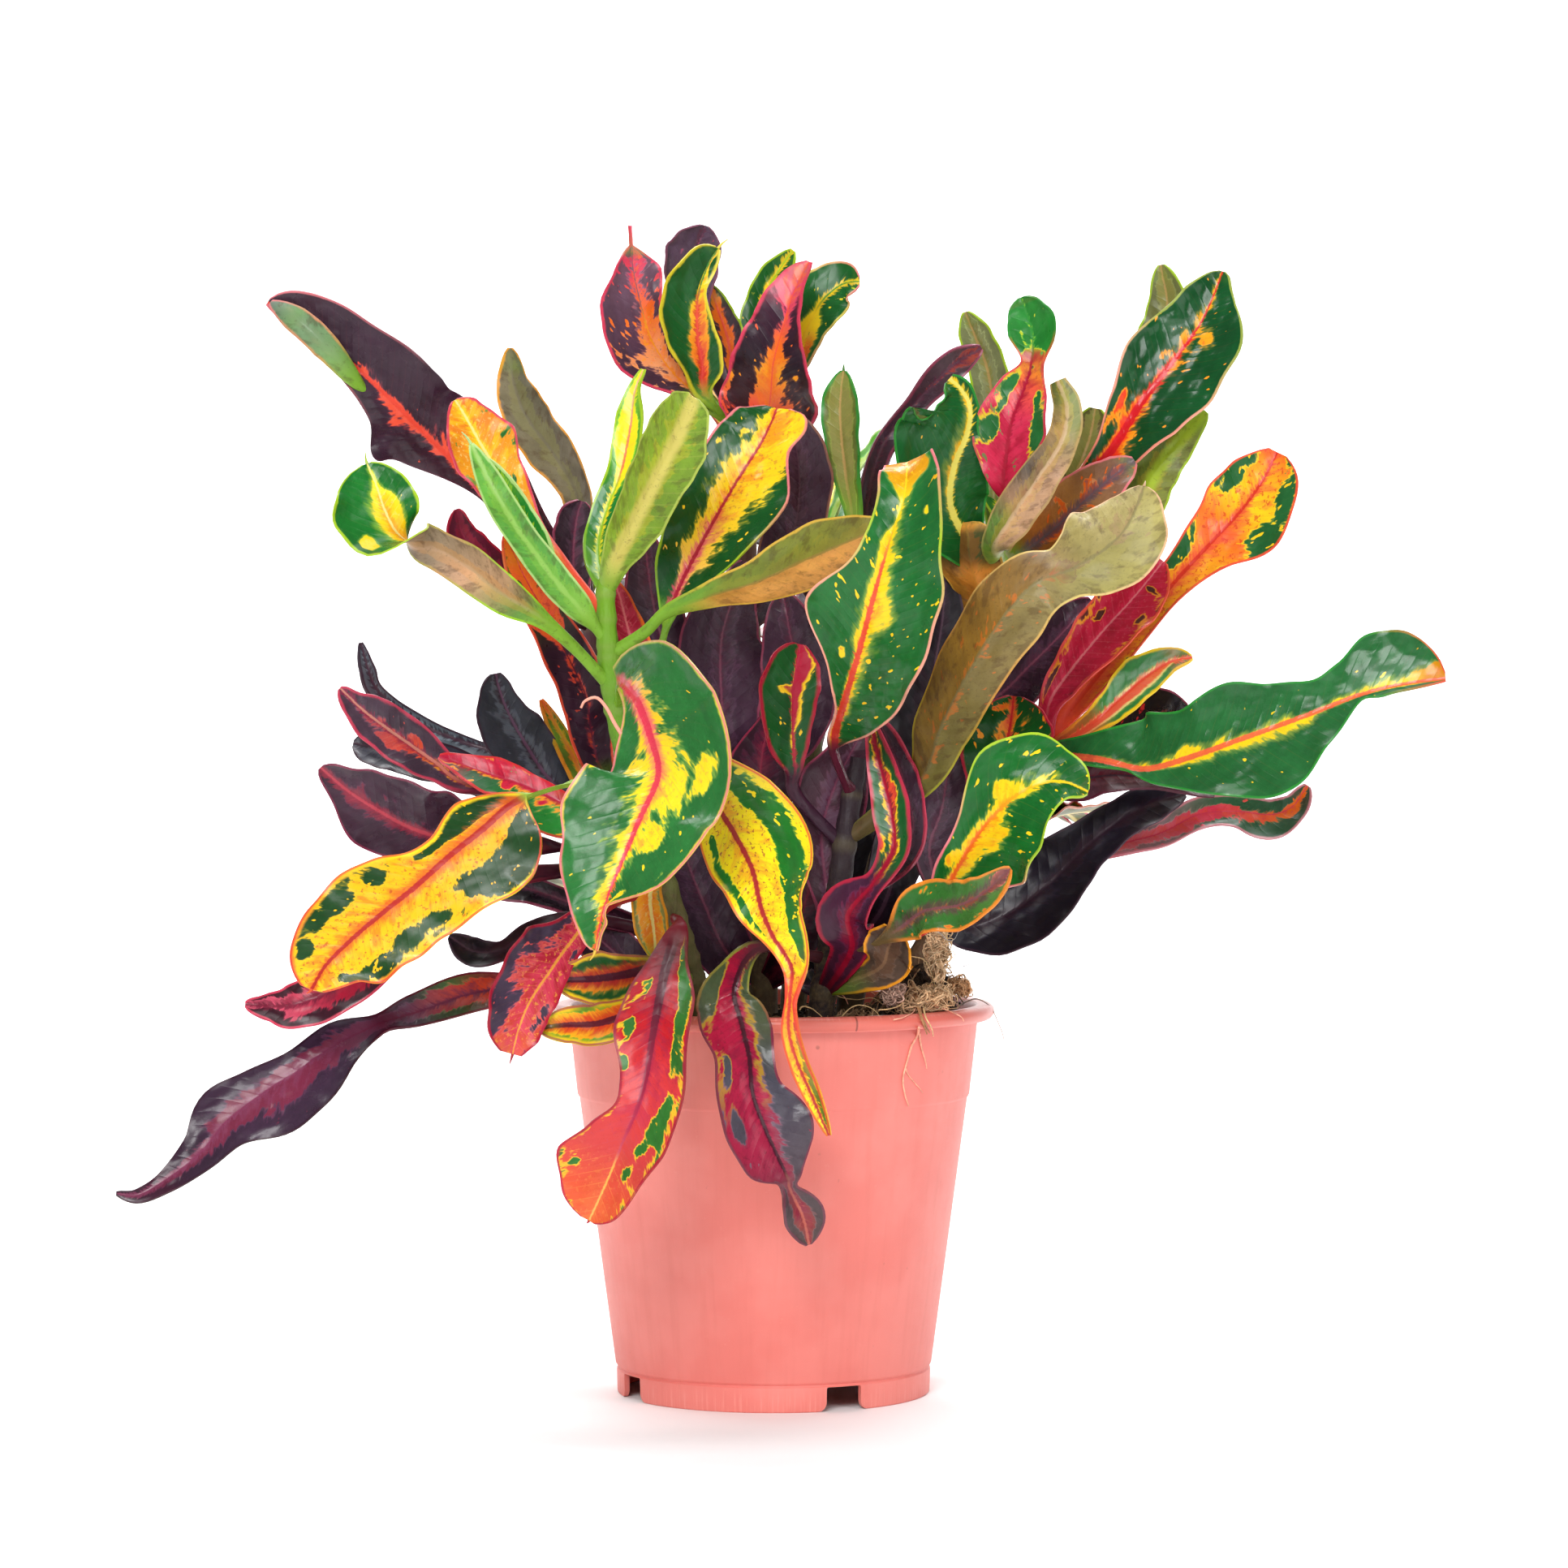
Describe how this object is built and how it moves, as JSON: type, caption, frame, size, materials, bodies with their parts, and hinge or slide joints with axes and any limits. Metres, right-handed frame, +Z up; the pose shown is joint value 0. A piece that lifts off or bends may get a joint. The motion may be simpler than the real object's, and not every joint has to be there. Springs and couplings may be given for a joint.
{
  "type": "potted croton",
  "caption": "Croton house plant with twisted, glossy leaves in yellow, orange, red, purple and green, in a tapered terracotta-coloured plastic nursery pot.",
  "frame": {"origin": "on the floor under the middle of the pot, which is also the middle of the box around the whole plant", "axes": "+Z up, -Y towards the side that the picture shows, +X to the right in the picture"},
  "size_m": [0.3937, 0.2305, 0.3609],
  "materials": {
    "pot_plastic": "satin",
    "peat": "matte",
    "foliage_front_left": "satin",
    "foliage_centre": "satin",
    "foliage_right": "satin",
    "foliage_side_right": "satin",
    "foliage_near": "satin",
    "foliage_left": "satin",
    "foliage_back": "satin"
  },
  "bodies": {
    "root": {"pot": "pot_plastic", "soil": "peat", "leafy_stem_front_left": "foliage_front_left", "leafy_stem_centre": "foliage_centre", "leafy_stem_right": "foliage_right", "leafy_stem_side_right": "foliage_side_right", "leafy_stem_near": "foliage_near", "leafy_stem_left": "foliage_left", "leafy_stem_back": "foliage_back"}
  },
  "joints": []
}
